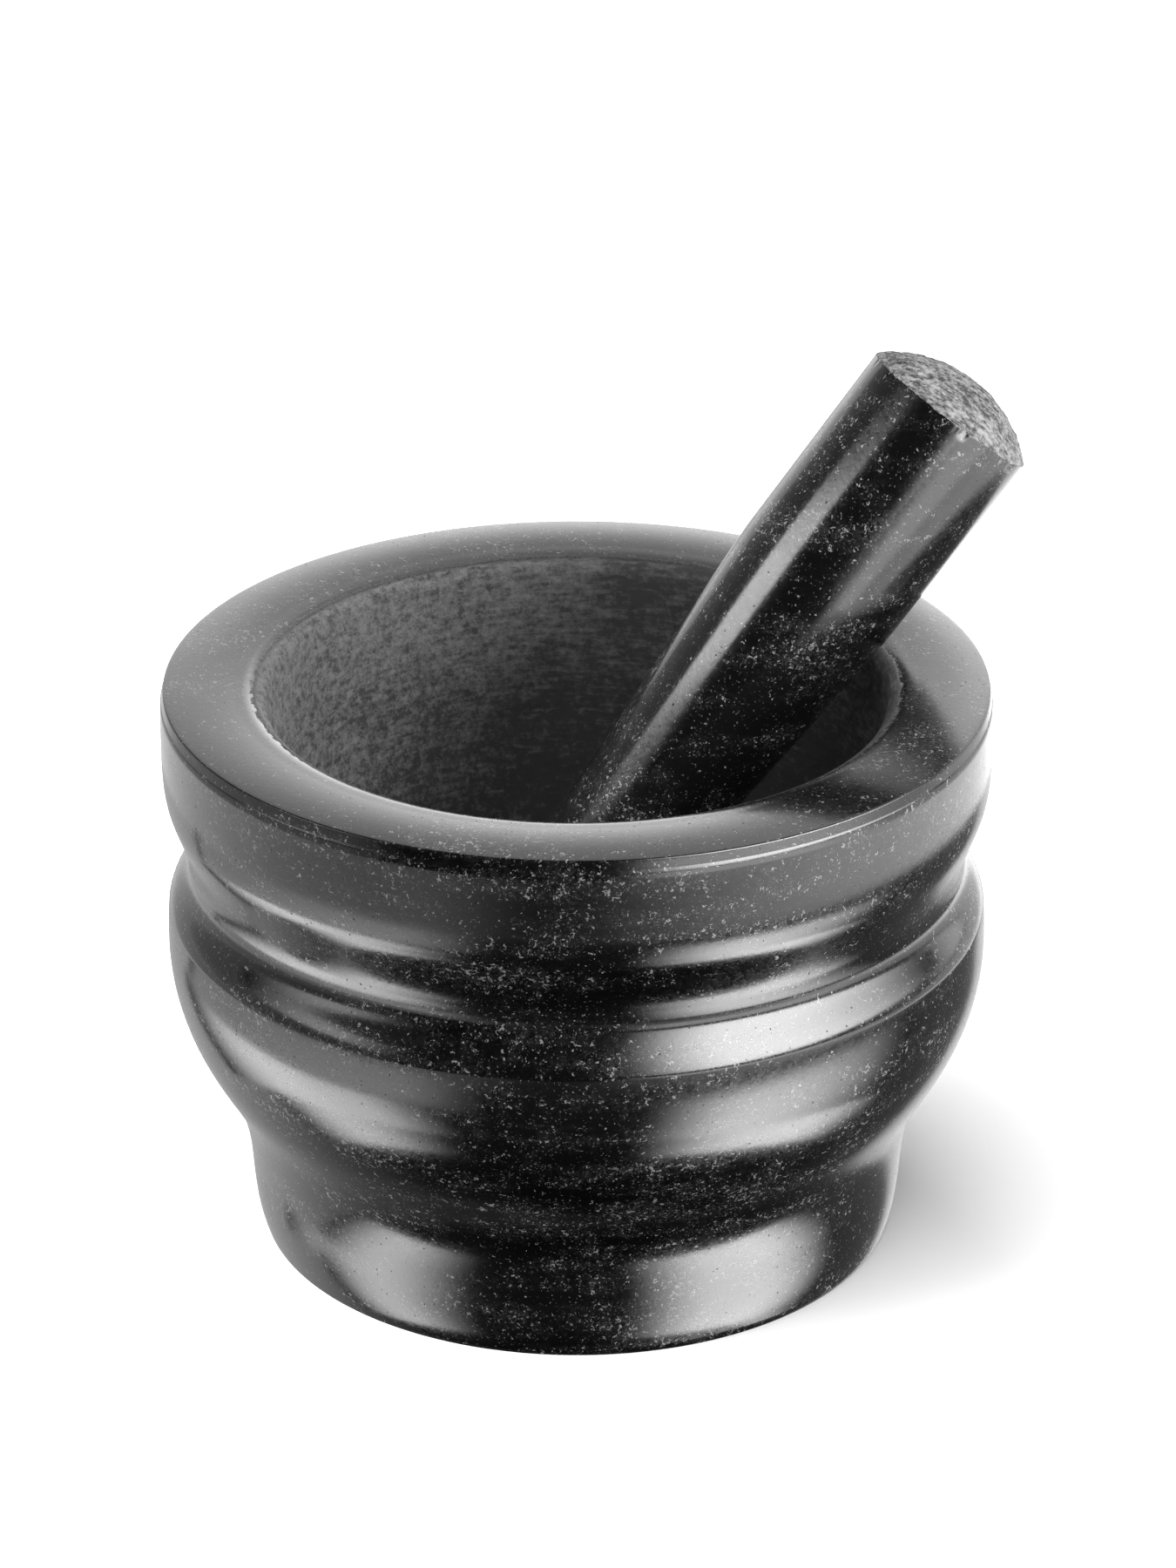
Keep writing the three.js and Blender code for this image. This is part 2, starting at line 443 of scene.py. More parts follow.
    # pits: open pores up to half a millimetre wide that take the light out of a highlight
    pit, _ = scattered_grains(tree, shift, 0.9, 0.08, 0.26, 0.2)
    colour = add(
        tree, "ShaderNodeMix", COLOURS, in_0=pit, in_6=colour, in_7=rgba(stone.dark_crystal)
    ).outputs[2]
    tree.links.new(colour, shader.inputs["Base Color"])

    # polish: crystals take it a little differently, pits and slivers hardly at all
    rough = add(tree, "ShaderNodeMath", TIMES_PLUS, in_0=tone, in_1=0.05, in_2=stone.polish)
    rough = add(tree, "ShaderNodeMath", TIMES_PLUS, in_0=sliver, in_1=0.18, in_2=rough)
    rough = add(tree, "ShaderNodeMath", TIMES_PLUS, in_0=pit, in_1=0.45, in_2=rough)
    tree.links.new(rough.outputs[0], shader.inputs["Roughness"])
    relief = add(tree, "ShaderNodeMath", TIMES, in_0=tone, in_1=0.003)
    relief = add(tree, "ShaderNodeMath", TIMES_PLUS, in_0=pit, in_1=-0.05, in_2=relief)
    relief = add(tree, "ShaderNodeMath", TIMES_PLUS, in_0=warp, in_1=0.006, in_2=relief)
    bump = add(tree, "ShaderNodeBump", height=relief, distance=MM)
    tree.links.new(bump.outputs[0], shader.inputs["Normal"])
    return material


def ground_bowl(name, stone, height):
    """The same granite inside the bowl, roughed with a coarse wheel and worn by grinding: matt
    and frosty on the wall, darker and smoother in the bottom and on the side that the pestle
    rubs, with faint turning marks, and a ragged margin where the lip's polish runs out. The
    paler high wall opposite the pestle is painted light as well as frost, and the darker bottom
    and pestle side are painted shade as well as wear."""
    material, tree, shader = new_material(name)
    place = add(tree, "ShaderNodeTexCoord").outputs["Object"]
    parts = add(tree, "ShaderNodeSeparateXYZ", vector=place).outputs
    level = add(tree, "ShaderNodeCombineXYZ", x=parts["X"], y=parts["Y"])
    radius = add(tree, "ShaderNodeVectorMath", {"operation": "LENGTH"}, in_0=level).outputs["Value"]
    angle = add(
        tree, "ShaderNodeMath", {"operation": "ARCTAN2"}, in_0=parts["Y"], in_1=parts["X"]
    )
    # a place measured along the outline, with the turning direction squeezed to draw streaks
    squeezed = add(tree, "ShaderNodeMath", TIMES, in_0=angle, in_1=0.012)
    along = add(tree, "ShaderNodeCombineXYZ", x=radius, y=parts["Z"], z=squeezed)
    marks = add(
        tree, "ShaderNodeTexNoise", vector=along, scale=per_mm(1.1), detail=4.0, roughness=0.7
    )
    cells = add(
        tree, "ShaderNodeTexNoise", vector=place, scale=per_mm(1.9), detail=7.0, roughness=0.85
    )
    patches = add(
        tree, "ShaderNodeTexNoise", vector=place, scale=per_mm(18), detail=3.0, roughness=0.6
    )
    # frost and painted light: the wall is painted paler high up and on the lit side opposite the
    # pestle, and darker in the bottom and by the pestle, as painted shade as well as wear
    high = add(
        tree, "ShaderNodeMapRange", EASED,
        in_0=parts["Z"], in_1=FROST_AND_LIGHT_RISES[0], in_2=FROST_AND_LIGHT_RISES[1], in_3=0.0, in_4=0.5,
    )
    side = add(
        tree, "ShaderNodeMapRange", EASED,
        in_0=parts["X"], in_1=FROST_AND_LIGHT_SIDES[0], in_2=FROST_AND_LIGHT_SIDES[1], in_3=0.0, in_4=0.55,
    )
    frost = add(tree, "ShaderNodeMath", PLUS, in_0=high, in_1=side)
    frost = add(tree, "ShaderNodeMath", TIMES_PLUS, in_0=patches, in_1=0.9, in_2=frost)
    frost = add(tree, "ShaderNodeMath", MINUS, in_0=frost, in_1=0.86)
    coarse = add(
        tree, "ShaderNodeMapRange", EASED,
        in_0=parts["X"], in_1=COARSE_SIDES[0], in_2=COARSE_SIDES[1],
        in_3=COARSENESS[0], in_4=COARSENESS[1],
    )
    mottle = add(tree, "ShaderNodeMath", MINUS, in_0=cells, in_1=0.5)
    mottle = add(tree, "ShaderNodeMath", TIMES, in_0=mottle, in_1=coarse)
    streak = add(tree, "ShaderNodeMath", MINUS, in_0=marks, in_1=0.5)
    mottle = add(tree, "ShaderNodeMath", TIMES_PLUS, in_0=streak, in_1=1.6, in_2=mottle)
    frost = add(tree, "ShaderNodeMath", CLAMPED, in_0=mottle, in_1=1.0, in_2=frost)
    colour = add(
        tree, "ShaderNodeMix", COLOURS, in_0=frost, in_6=rgba(stone.worn), in_7=rgba(stone.frost)
    ).outputs[2]
    # the lip's polish runs out over the first millimetre below the rim
    edge = add(tree, "ShaderNodeMath", TIMES_PLUS, in_0=cells, in_1=LIP_WANDER, in_2=parts["Z"])
    polish = add(
        tree, "ShaderNodeMapRange", EASED,
        in_0=edge, in_1=(height + 0.05) * MM, in_2=(height + 0.6) * MM, in_3=0.0, in_4=1.0,
    )
    colour = add(
        tree, "ShaderNodeMix", COLOURS, in_0=polish, in_6=colour, in_7=rgba(stone.grey_crystal)
    ).outputs[2]
    tree.links.new(colour, shader.inputs["Base Color"])
    rough = add(tree, "ShaderNodeMath", TIMES_PLUS, in_0=polish, in_1=-0.5, in_2=0.68)
    tree.links.new(rough.outputs[0], shader.inputs["Roughness"])
    relief = add(tree, "ShaderNodeMath", TIMES, in_0=cells, in_1=coarse)
    relief = add(tree, "ShaderNodeMath", TIMES, in_0=relief, in_1=0.45)
    relief = add(tree, "ShaderNodeMath", TIMES_PLUS, in_0=marks, in_1=0.16, in_2=relief)
    matt = add(tree, "ShaderNodeMath", MINUS, in_0=1.0, in_1=polish)
    relief = add(tree, "ShaderNodeMath", TIMES, in_0=relief, in_1=matt)
    bump = add(tree, "ShaderNodeBump", height=relief, distance=MM)
    tree.links.new(bump.outputs[0], shader.inputs["Normal"])
    return material


def sawn_underside(name, stone):
    """The foot's underside, sawn and left: flat grey with faint straight saw marks."""
    material, tree, shader = new_material(name)
    place = add(tree, "ShaderNodeTexCoord").outputs["Object"]
    strokes = add(tree, "ShaderNodeMapping", vector=place, scale=(0.08, 1.0, 1.0))
    marks = add(tree, "ShaderNodeTexNoise", vector=strokes, scale=per_mm(0.8), detail=3.0)
    colour = add(
        tree, "ShaderNodeMix", COLOURS, in_0=marks, in_6=rgba(stone.worn), in_7=rgba(stone.frost)
    ).outputs[2]
    tree.links.new(colour, shader.inputs["Base Color"])
    bump = add(tree, "ShaderNodeBump", height=marks, distance=0.1 * MM)
    tree.links.new(bump.outputs[0], shader.inputs["Normal"])
    shader.inputs["Roughness"].default_value = 0.7
    return material


def dressed_crown(name, stone, axis):
    """The pestle's working end, dressed with a coarse wheel and never polished: pale, matt and
    gritty, with short strokes side by side and dark pits between them."""
    material, tree, shader = new_material(name)
    place = add(tree, "ShaderNodeTexCoord").outputs["Object"]
    turn = Vector((0, 0, 1)).rotation_difference(axis).inverted().to_euler()
    level = add(tree, "ShaderNodeMapping", vector=place, rotation=tuple(turn))
    strokes = add(
        tree, "ShaderNodeMapping", vector=level,
        rotation=(0, 0, stone.stroke_angle), scale=(0.22, 1.0, 1.0),
    )
    scratch = add(
        tree, "ShaderNodeTexNoise", vector=strokes, scale=per_mm(0.9), detail=4.0, roughness=0.7
    )
    grit = add(
        tree, "ShaderNodeTexNoise", vector=place, scale=per_mm(1.0), detail=4.0, roughness=0.75
    )
    patches = add(tree, "ShaderNodeTexNoise", vector=place, scale=per_mm(6), detail=2.0)
    shade = add(tree, "ShaderNodeMath", TIMES_PLUS, in_0=scratch, in_1=3.2, in_2=-2.0)
    shade = add(tree, "ShaderNodeMath", TIMES_PLUS, in_0=grit, in_1=2.6, in_2=shade)
    shade = add(tree, "ShaderNodeMath", MINUS, in_0=shade, in_1=0.95)
    shade = add(tree, "ShaderNodeMath", CLAMPED, in_0=patches, in_1=0.9, in_2=shade)
    colour = add(
        tree, "ShaderNodeMix", COLOURS,
        in_0=shade, in_6=rgba(stone.crown_dark), in_7=rgba(stone.crown_pale),
    ).outputs[2]
    tree.links.new(colour, shader.inputs["Base Color"])
    relief = add(tree, "ShaderNodeMath", TIMES, in_0=scratch, in_1=0.3)
    relief = add(tree, "ShaderNodeMath", TIMES_PLUS, in_0=grit, in_1=0.22, in_2=relief)
    bump = add(tree, "ShaderNodeBump", height=relief, distance=MM)
    tree.links.new(bump.outputs[0], shader.inputs["Normal"])
    shader.inputs["Roughness"].default_value = 0.75
    return material


# ---------------------------------------------------------------- properties


class GRANITE_PG_stone(bpy.types.PropertyGroup):
    """Colours and polish of the granite."""

    dark_crystal: colour_property("Dark crystals", "Darkest crystals of the polished stone", "121212")
    grey_crystal: colour_property("Grey crystals", "Lightest of the dark crystals", "323232")
    speck: colour_property("Specks", "Fine pale specks", "747474")
    flake: colour_property("Flakes", "Rarer flecks half a millimetre across", "a0a0a0")
    sliver: colour_property("Slivers", "Bright worm-shaped slivers", "a8a8a8")
    bright_grain: colour_property("Bright grains", "A few larger bright grains", "c4c4c4")
    # worn and frost are the two ends of the bowl's mix, which paints the bowl's light and shade as well
    # as its wear and frost
    worn: colour_property("Worn bowl", "Bottom of the bowl, worn smooth", "686868")
    frost: colour_property("Frosty bowl", "Wall of the bowl, roughed and pale", "d0d0d0")
    crown_dark: colour_property("Crown pits", "Pits in the pestle's working end", "303030")
    crown_pale: colour_property("Crown", "Dressed stone of the pestle's working end", "c0c0c0")
    polish: FloatProperty(
        name="Polish", description="Roughness of the polished stone", default=0.13, min=0, max=1,
    )
    sliver_threshold: FloatProperty(
        name="Sliver threshold", description="Higher leaves fewer slivers", default=1.12,
    )
    stroke_angle: FloatProperty(
        name="Dressing strokes", description="Direction of the strokes on the pestle's crown",
        subtype="ANGLE", default=math.radians(-30),
    )


class GRANITE_PG_mortar(bpy.types.PropertyGroup):
    """Sizes of the mortar."""

    height: length_property("Height", "Outer edge of the rim above the table", 113)
    sides: IntProperty(name="Sides", description="Steps round the mortar", default=384, min=96)
    runout: length_property("Runout", "How far hand turning leaves the wall off a true circle", 0.06)
    bowl_relief: length_property("Bowl relief", "Depth of the roughing marks in the bowl", 0.4)


class GRANITE_PG_pestle(bpy.types.PropertyGroup):
    """Sizes of the pestle."""

    sides: IntProperty(name="Sides", description="Steps round the pestle", default=320, min=48)
    chips: length_property("Chips", "Deepest chip along the edge of the working end", 0.9)
    crown_relief: length_property("Crown relief", "Depth of the dressing marks", 0.35)


class GRANITE_PG_stage(bpy.types.PropertyGroup):
    """Lamps, table and camera."""

    lens: FloatProperty(name="Lens", description="Focal length", unit="CAMERA", default=136.5)
    dome: FloatProperty(name="Dome", description="Soft light from all round", default=0.6, min=0)
    panel: FloatProperty(
        name="Softboxes", description="Brightness of the softboxes mirrored in the stone",
        default=1, min=0,
    )


# ---------------------------------------------------------------- pieces


def mortar_shape(settings, height):
    """A function that gives each point of the mortar: a true turning, less a little runout,
    with the bowl's wall roughed in relief below the lip."""
    runout = settings.runout / MM
    depth = settings.bowl_relief / MM
    rough_from = height - LIP_DROP + ROUGHING_START["above_wall_top"]

    def shape(r, angle, z):
        x, y = r * math.cos(angle), r * math.sin(angle)
        place = Vector((x, y, z))
        outside = r > LIP_RADIUS + 0.5 or z < BOWL_CENTRE - BOWL_RADIUS - 1
        if outside:
            if DRIFT_FREE["foot"] < z < height - DRIFT_FREE["rim"]:
                spot = Vector((x * DRIFT_ROUND, y * DRIFT_ROUND, z * DRIFT_UP))
                drift = noise.noise(spot) * runout
                scale = 1 + drift / r
                return (x * scale, y * scale, z)
            return (x, y, z)
        fade = smooth_step(0, ROUGHING_START["fade"], rough_from - z)
        if r < 1e-6:
            return (x, y, z)
        inward = Vector((x, y, min(z - BOWL_CENTRE, 0))).normalized()
        coarse = noise.noise(place * ROUGHING_COARSE)
        fine = noise.noise(place * ROUGHING_FINE + Vector((31, 7, 3)))
        along = z * ROUGHING_RINGS - r * 0.5
        rings = noise.noise(Vector((math.cos(angle) * 1.5, math.sin(angle) * 1.5, along)))
        share = ROUGHING_SHARE
        marks = share["coarse"] * coarse + share["fine"] * fine + share["rings"] * rings
        dent = depth * fade * marks
        return tuple(place + inward * dent)

    return shape


def make_mortar(context):
    """The mortar: one solid of granite, polished outside and roughed inside."""
    settings = context.scene.granite_mortar
    stone = context.scene.granite_stone
    height = settings.height / MM
    outline = mortar_outline(height)
    mortar = turned_mesh("mortar", outline, settings.sides, mortar_shape(settings, height))
    for material in (
        polished_granite("Black granite, turned and polished", stone, 0.0),
        ground_bowl("Black granite, roughed and worn bowl", stone, height),
        sawn_underside("Black granite, sawn underside", stone),
    ):
        mortar.data.materials.append(material)
    # the faces lie ring by ring from the middle of the foot, and the bowl starts below the lip
    lip_level = height - 0.3
    bowl_ring = next(
        i for i, (r, z) in enumerate(outline) if r < LIP_RADIUS and height - LIP_DROP < z < lip_level
    )
    for face in mortar.data.polygons:
        if face.index // settings.sides >= bowl_ring:
            face.material_index = 1
        elif face.center.z < 0.0001:
            face.material_index = 2
    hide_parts("mortar_bowl")
    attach(mortar, "mortar")


def pestle_shape(settings, turn, origin):
    """A function that gives each point of the pestle, leaning as it rests in the bowl, with a
    chipped edge round the working end and dressing marks on its crown."""
    chips = settings.chips / MM
    depth = settings.crown_relief / MM

    def shape(r, angle, s):
        x, y = r * math.cos(angle), r * math.sin(angle)
        place = Vector((x, y, s))
        on_crown = smooth_step(PESTLE_LENGTH - 0.1, PESTLE_LENGTH + 0.5, s)
        if on_crown > 0:
            grit = noise.noise(Vector((x * 0.5, y * 1.5, s))) + 0.6 * noise.noise(place * DRESSING_GRIT)
            place.z += depth * on_crown * grit
        from_edge = abs(s - PESTLE_LENGTH) + max(0, HEAD_RADIUS - r - 0.4)
        near_edge = 1 - smooth_step(0.2, CHIP_REACH, from_edge)
        if near_edge > 0:
            east, north = math.cos(angle), math.sin(angle)
            bite = noise.noise(Vector((east * CHIP_BITES, north * CHIP_BITES, 4.2)))
            nick = noise.noise(Vector((east * CHIP_NICKS, north * CHIP_NICKS, 9.1)))
            cut = max(0, bite * 1.1 + nick * 0.7 - 0.12) * chips * near_edge
            outward = Vector((x, y, 0)).normalized()
            place -= outward * cut * 0.75 + Vector((0, 0, cut * 0.6))
        return tuple(turn @ place + origin)

    return shape


def make_pestle(context):
    """The pestle: a tapered granite club, polished but for its dressed working end."""
    settings = context.scene.granite_pestle
    stone = context.scene.granite_stone
    axis = Vector(frame["joints"][0]["axis"]).normalized()
    turn = Vector((0, 0, 1)).rotation_difference(axis).to_matrix()
    origin = Vector(HEAD_CENTRE) - axis * PESTLE_LENGTH
    outline = pestle_outline()
    pestle = turned_mesh(
        "pestle_stone", outline, settings.sides, pestle_shape(settings, turn, origin)
    )
    pestle.data.materials.append(
        polished_granite("Black granite, pestle shaft, polished", stone, 0.37)
    )
    pestle.data.materials.append(
        dressed_crown("Black granite, dressed working end", stone, axis)
    )
    # the faces lie ring by ring from the handle tip, and the dressing starts just below the arris
    crown_ring = next(i for i, p in enumerate(outline) if p[1] > PESTLE_LENGTH - DRESSED_EDGE)
    for face in pestle.data.polygons:
        if face.index // settings.sides >= crown_ring:
            face.material_index = 1
    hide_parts("pestle")
    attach(pestle, "pestle")


# ---------------------------------------------------------------- stage


TABLE_SIZE = 8.0
CAMERA_PLACE = (0, -1.0406, 0.581)
CAMERA_AIM = (0, 0, 0.09096)
CAMERA_SHIFT = 0.0073  # the object stands a little left of the middle
PESTLE_MIDDLE = (0.05, 0.015, 0.13)
KEY_AIM = (-0.02, 0, 0.08)  # inside the bowl
TABLE_LAMP_BEARINGS = (-135, -80, -25)  # they throw the mortar's shadow to the right
TABLE_GREY = "e8e8e8"
CAMERA_WHITE = 1.05  # brightness of the background that the camera sees
LOW_WALL = {"top": 36, "foot": 12, "faded": 0.44}  # elevations between which the wall fades



def faded(start, full, leave, end, first, last=None):
    """A softbox's brightness round the mortar: it fades in from one bearing to the next, runs
    from its first brightness to its last, and fades out again."""
    return ((start, 0.0), (full, first), (leave, first if last is None else last), (end, 0.0))


# Softboxes that only the gloss sees, and glowing sheets in the table's place that paint the lit table's
# reflection for the gloss, brighter and darker by bearing. Each is a sheet bent round the mortar
# between two edges (radius and height in metres). Bearings are degrees round from the front, positive
# to the right. The two outer table sheets run right round, so theirs is a short list of bearings and
# brightness.
PANELS = {
    "low_right_softbox": {
        "edges": ((0.206, 0.0), (0.299, -0.165)), "glow": faded(14, 41, 42, 90, 10.3),
    },
    "low_left_softbox": {
        "edges": ((0.174, 0.0), (0.299, -0.165)), "glow": faded(-118, -73, -54, -28, 7.2),
    },
    "floor_right_softbox": {
        "edges": ((0.2991, -0.1652), (0.6, -0.7)), "glow": faded(16, 50, 64, 100, 10.6),
    },
    "floor_left_softbox": {
        "edges": ((0.2991, -0.1652), (0.6, -0.7)), "glow": faded(-98, -69, -68, -34, 6.6),
    },
    "high_softbox": {
        "edges": ((0.42, 0.118), (0.42, 0.37)), "glow": faded(10, 42, 52, 108, 17.5),
    },
    "side_softbox": {
        "edges": ((0.421, 0.155), (0.421, 0.24)), "glow": faded(-98, -68, -67, -42, 3.8),
    },
    # the next three sheets glow in the table's place: a painted reflection of the lit table, seen only
    # in the gloss
    "near_table": {
        "edges": ((0.181, -0.001), (0.24, -0.0015)), "glow": faded(-115, -109, -42, -18, 1.1, 3.0),
    },
    "far_table": {
        "edges": ((0.24, -0.002), (0.36, -0.002)),
        "glow": (
            (-180, 0.8), (-100, 1.5), (-40, 1.0), (-6, 0.1), (70, 3.3), (140, 2.4), (180, 0.8),
        ),
    },
    "table_end": {
        "edges": ((0.36, -0.002), (3.0, -0.002)),
        "glow": (
            (-180, 1.0), (-60, 0.6), (-45, 0.0), (9, 0.0), (28, 4.6), (55, 5.0), (95, 1.6),
            (180, 1.2),
        ),
    },
}
SHEET_STEPS = 96  # steps round a whole softbox sheet
BRIGHTEST = 20  # a ramp's white stands for this brightness


def glow_round(tree, way, stops):
    """The brightness at each bearing round the mortar, run smoothly from stop to stop."""
    parts = add(tree, "ShaderNodeSeparateXYZ", vector=way).outputs
    front = add(tree, "ShaderNodeMath", TIMES, in_0=parts["Y"], in_1=-1.0)
    bearing = add(tree, "ShaderNodeMath", {"operation": "ARCTAN2"}, in_0=parts["X"], in_1=front)
    turn = add(
        tree, "ShaderNodeMath", TIMES_PLUS, in_0=bearing, in_1=0.5 / math.pi, in_2=0.5
    )
    ramp = add(tree, "ShaderNodeValToRGB", fac=turn)
    ramp.color_ramp.interpolation = "EASE"
    points = ramp.color_ramp.elements
    while len(points) < len(stops):
        points.new(0.5)
    for point, (bearing, glow) in zip(points, stops):
        point.position = bearing / 360 + 0.5
        point.color = (glow / BRIGHTEST, glow / BRIGHTEST, glow / BRIGHTEST, 1)
    return add(tree, "ShaderNodeMath", TIMES, in_0=ramp, in_1=BRIGHTEST)


def panel_sheet(name, edges, glow, strength):
    """A softbox, or a glowing sheet that paints the table's reflection, bent round the mortar, that
    only the gloss sees.
    """
    mesh = bmesh.new()
    rows = []
    first, last = glow[0][0], glow[-1][0]
    steps = max(1, round(SHEET_STEPS * (last - first) / 360))
    for i in range(steps + 1):
        bearing = math.radians(first + (last - first) * i / steps)
        rows.append([
            mesh.verts.new((r * math.sin(bearing), -r * math.cos(bearing), z)) for r, z in edges
        ])
    for a, b in zip(rows, rows[1:]):
        mesh.faces.new((a[0], b[0], b[1], a[1]))
    data = bpy.data.meshes.new(name)
    mesh.to_mesh(data)
    mesh.free()
    sheet = bpy.data.objects.new(name, data)
    bpy.context.scene.collection.objects.link(sheet)
    material = bpy.data.materials.new(name)
    material.use_nodes = True
    tree = material.node_tree
    tree.nodes.clear()
    place = add(tree, "ShaderNodeTexCoord").outputs["Object"]
    light = glow_round(tree, place, glow)
    light = add(tree, "ShaderNodeMath", TIMES, in_0=light, in_1=strength)
    add(
        tree, "ShaderNodeOutputMaterial", surface=add(tree, "ShaderNodeEmission", strength=light)
    )
    data.materials.append(material)
    for ray in ("camera", "diffuse", "transmission", "volume_scatter", "shadow"):
        setattr(sheet, f"visible_{ray}", False)


def make_table():
    """A wide matt white table top."""
    mesh = bmesh.new()
    bmesh.ops.create_grid(mesh, x_segments=8, y_segments=8, size=TABLE_SIZE / 2)
    data = bpy.data.meshes.new("table_top")
    mesh.to_mesh(data)
    mesh.free()
    table = bpy.data.objects.new("table_top", data)
    bpy.context.scene.collection.objects.link(table)
    material, _, shader = new_material("White laminate, matt")
    shader.inputs["Base Color"].default_value = rgba(hex_to_linear(TABLE_GREY))
    shader.inputs["Roughness"].default_value = 0.9
    data.materials.append(material)
    table.visible_glossy = False
    table.visible_diffuse = False
    return table


# The studio that the gloss mirrors past the softboxes: brightness of its wall and of the
# ground below the horizon, at a few bearings.
WALL = (
    (-178, 3.4), (-140, 0.7), (-60, 0.4), (-40, 0.0), (20, 0.0), (105, 0.4), (126, 3.3),
    (160, 3.2), (171, 5.0), (178, 3.5),
)
GROUND = (
    (-175, 0.8), (-118, 1.5), (-75, 0.3), (-20, 0.06), (20, 0.06), (146, 0.3), (156, 1.5),
    (175, 1.3),
)


def make_world(settings):
    """White all round for the camera, a soft dome for the matt light, and for the gloss a
    studio that is bright behind the mortar, most of all low on the wall, and dark in front."""
    world = bpy.data.worlds.new("studio")
    bpy.context.scene.world = world
    world.use_nodes = True
    tree = world.node_tree
    tree.nodes.clear()
    way = add(tree, "ShaderNodeTexCoord").outputs["Generated"]
    rise = add(tree, "ShaderNodeSeparateXYZ", vector=way).outputs["Z"]
    wall = glow_round(tree, way, WALL)
    low = add(
        tree, "ShaderNodeMapRange", EASED,
        in_0=rise, in_1=math.sin(math.radians(LOW_WALL["top"])),
        in_2=math.sin(math.radians(LOW_WALL["foot"])), in_3=LOW_WALL["faded"], in_4=1.0,
    )
    wall = add(tree, "ShaderNodeMath", TIMES, in_0=wall, in_1=low)
    ground = glow_round(tree, way, GROUND)
    steep = add(
        tree, "ShaderNodeMapRange", EASED, in_0=rise, in_1=-0.98, in_2=-0.5, in_3=0.1, in_4=1.0
    )
    ground = add(tree, "ShaderNodeMath", TIMES, in_0=ground, in_1=steep)
    upward = add(
        tree, "ShaderNodeMapRange", EASED, in_0=rise, in_1=-0.03, in_2=0.03, in_3=0.0, in_4=1.0
    )
    mirrored = add(tree, "ShaderNodeMix", in_0=upward, in_2=ground, in_3=wall)
    rays = add(tree, "ShaderNodeLightPath").outputs
    strength = add(
        tree, "ShaderNodeMix", in_0=rays["Is Glossy Ray"], in_2=settings.dome, in_3=mirrored
    )
    strength = add(
        tree, "ShaderNodeMix", in_0=rays["Is Camera Ray"], in_2=strength, in_3=CAMERA_WHITE
    )
    add(
        tree, "ShaderNodeOutputWorld", surface=add(tree, "ShaderNodeBackground", strength=strength)
    )


def soft_lamp(name, place, aim, size, power, lit, glossy):
    """A rectangular softbox lamp that lights only the objects in lit."""
    data = bpy.data.lights.new(name, "AREA")
    data.shape = "RECTANGLE"
    data.size, data.size_y = size
    data.energy = power
    lamp = bpy.data.objects.new(name, data)
    bpy.context.scene.collection.objects.link(lamp)
    lamp.location = place
    lamp.rotation_euler = (Vector(aim) - Vector(place)).to_track_quat("-Z", "Y").to_euler()
    lamp.visible_camera = False
    lamp.visible_glossy = glossy
    group = bpy.data.collections.new(f"{name}_lights")
    for piece in lit:
        group.objects.link(piece)
    lamp.light_linking.receiver_collection = group


def around(bearing, elevation, distance, centre=(0, 0, 0)):
    """The place at a bearing and elevation, in degrees, and a distance from a centre."""
    turn, lift = math.radians(bearing), math.radians(elevation)
    level = distance * math.cos(lift)
    offset = (level * math.sin(turn), -level * math.cos(turn), distance * math.sin(lift))
    return Vector(centre) + Vector(offset)


def make_camera(context, settings):
    """The camera, in front of the mortar and above it."""
    data = bpy.data.cameras.new("camera")
    data.sensor_width = 36
    data.lens = settings.lens
    data.shift_x = CAMERA_SHIFT
    camera = bpy.data.objects.new("camera", data)
    context.scene.collection.objects.link(camera)
    camera.location = CAMERA_PLACE
    look = Vector(CAMERA_AIM) - Vector(CAMERA_PLACE)
    camera.rotation_euler = look.to_track_quat("-Z", "Y").to_euler()
    context.scene.camera = camera
    context.scene.view_settings.view_transform = "Standard"


def make_stage(context):
    """Table, softboxes, world, lamps and camera."""
    settings = context.scene.granite_stage
    table = make_table()
    for name, panel in PANELS.items():
        panel_sheet(name, panel["edges"], panel["glow"], settings.panel)
    make_world(settings)
    mortar, pestle = bpy.data.objects["mortar"], bpy.data.objects["pestle_stone"]
    for bearing in TABLE_LAMP_BEARINGS:
        place = around(bearing, 46, 1.5)
        soft_lamp(f"table_lamp_{-bearing}", place, (0, 0, 0), (1.5, 1.4), 36, [table], False)
    key = around(62, 40, 0.9)
    soft_lamp("key_lamp", key, KEY_AIM, (0.3, 0.3), 3.8, [mortar, pestle], False)
    strip = around(-70, 26, 0.4785, PESTLE_MIDDLE)
    soft_lamp("pestle_lamp", strip, PESTLE_MIDDLE, (0.25, 0.12), 0.9, [pestle], True)
    edge = around(-152, 4, 1.2, PESTLE_MIDDLE)
    soft_lamp("pestle_edge_lamp", edge, PESTLE_MIDDLE, (0.8, 0.5), 1.15, [pestle], True)
    make_camera(context, settings)


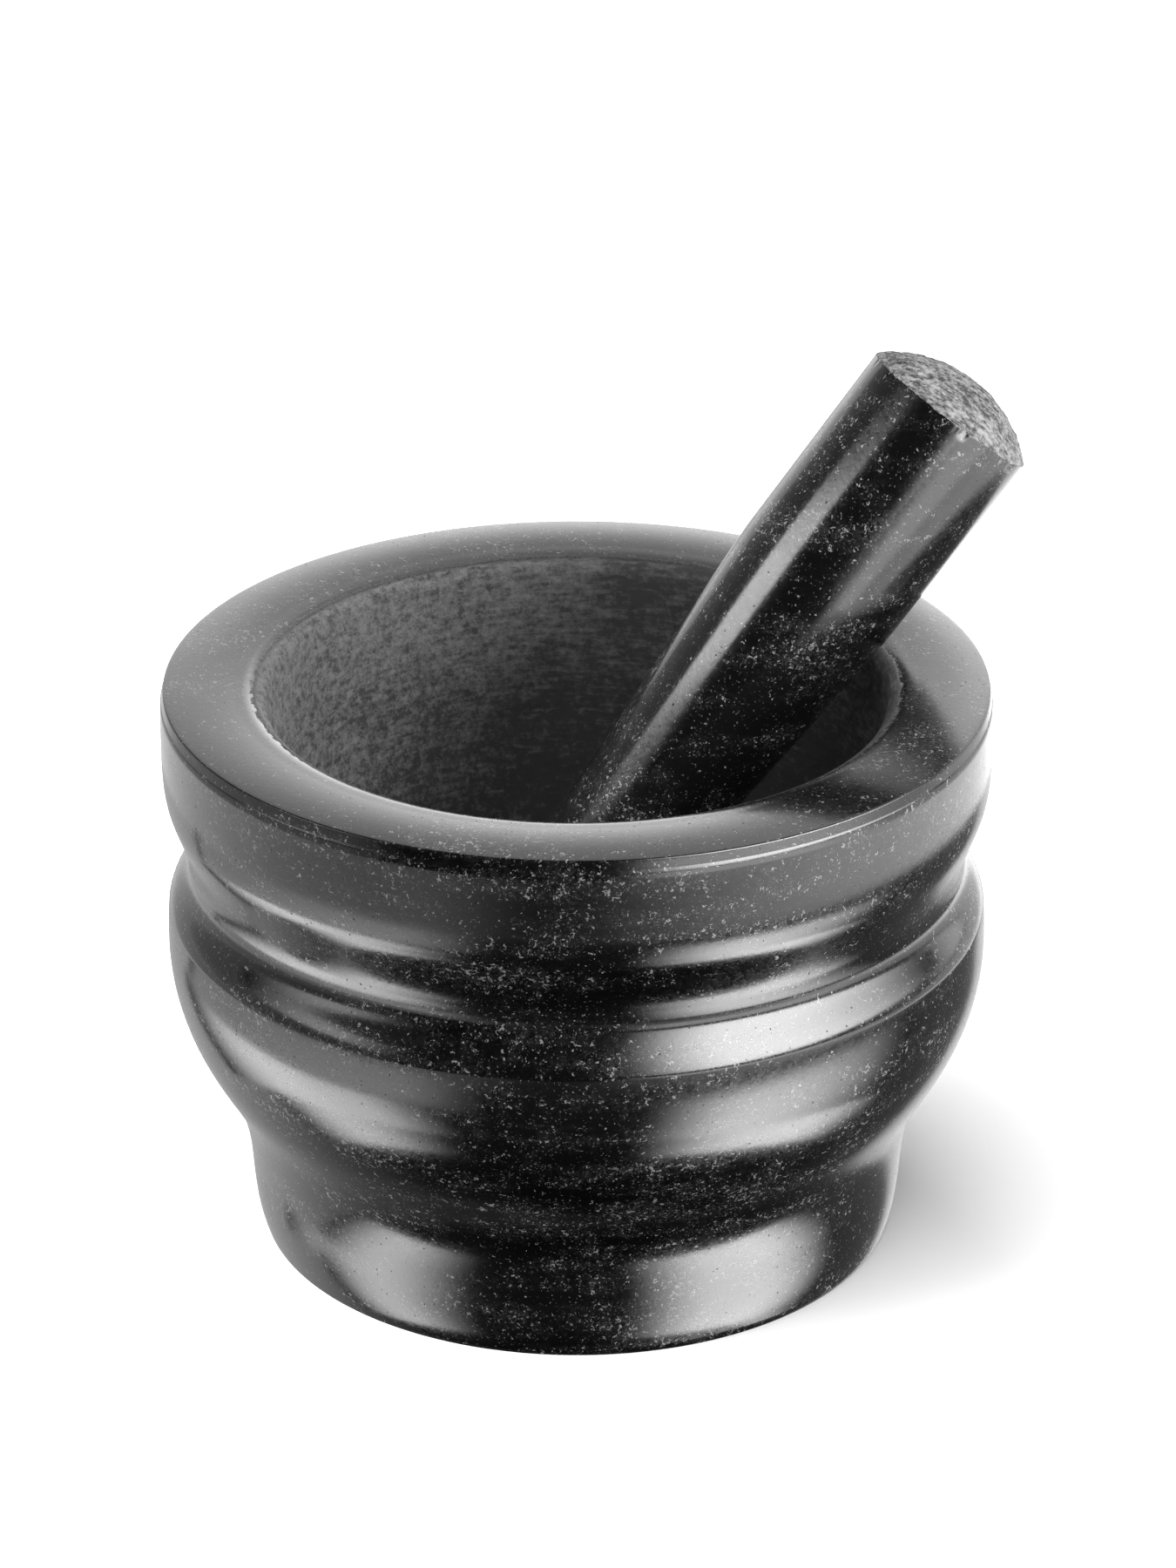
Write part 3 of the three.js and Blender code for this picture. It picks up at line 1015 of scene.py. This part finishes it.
# ---------------------------------------------------------------- operators and panel


class GRANITE_OT_mortar(bpy.types.Operator):
    """Turn the mortar from one block of granite"""

    bl_idname = "granite.mortar"
    bl_label = "Turn the mortar"

    def execute(self, context):
        make_mortar(context)
        return {"FINISHED"}


class GRANITE_OT_pestle(bpy.types.Operator):
    """Turn the pestle and stand it in the bowl"""

    bl_idname = "granite.pestle"
    bl_label = "Turn the pestle"

    def execute(self, context):
        make_pestle(context)
        return {"FINISHED"}


class GRANITE_OT_stage(bpy.types.Operator):
    """Set the table, the softboxes and the camera"""

    bl_idname = "granite.stage"
    bl_label = "Set the stage"

    def execute(self, context):
        make_stage(context)
        return {"FINISHED"}


class GRANITE_PT_panel(bpy.types.Panel):
    """Sizes, colours and steps of the granite mortar"""

    bl_label = "Granite mortar"
    bl_space_type = "VIEW_3D"
    bl_region_type = "UI"
    bl_category = "Mortar"

    def draw(self, context):
        scene = context.scene
        for group in (getattr(scene, name) for name in GROUPS):
            box = self.layout.box()
            for name in group.__annotations__:
                box.prop(group, name)
        for operator in OPERATORS:
            self.layout.operator(operator.bl_idname)


OPERATORS = (GRANITE_OT_mortar, GRANITE_OT_pestle, GRANITE_OT_stage)
GROUPS = {
    "granite_stone": GRANITE_PG_stone,
    "granite_mortar": GRANITE_PG_mortar,
    "granite_pestle": GRANITE_PG_pestle,
    "granite_stage": GRANITE_PG_stage,
}


def register():
    for group in GROUPS.values():
        bpy.utils.register_class(group)
    for kind in (*OPERATORS, GRANITE_PT_panel):
        bpy.utils.register_class(kind)
    for name, group in GROUPS.items():
        setattr(bpy.types.Scene, name, PointerProperty(type=group))


def unregister():
    for name in GROUPS:
        delattr(bpy.types.Scene, name)
    for kind in (GRANITE_PT_panel, *reversed(OPERATORS), *reversed(GROUPS.values())):
        bpy.utils.unregister_class(kind)


def main():
    """Makes the pieces and the stage."""
    register()
    bpy.ops.granite.mortar()
    bpy.ops.granite.pestle()
    bpy.ops.granite.stage()


if __name__ == "__main__":
    main()
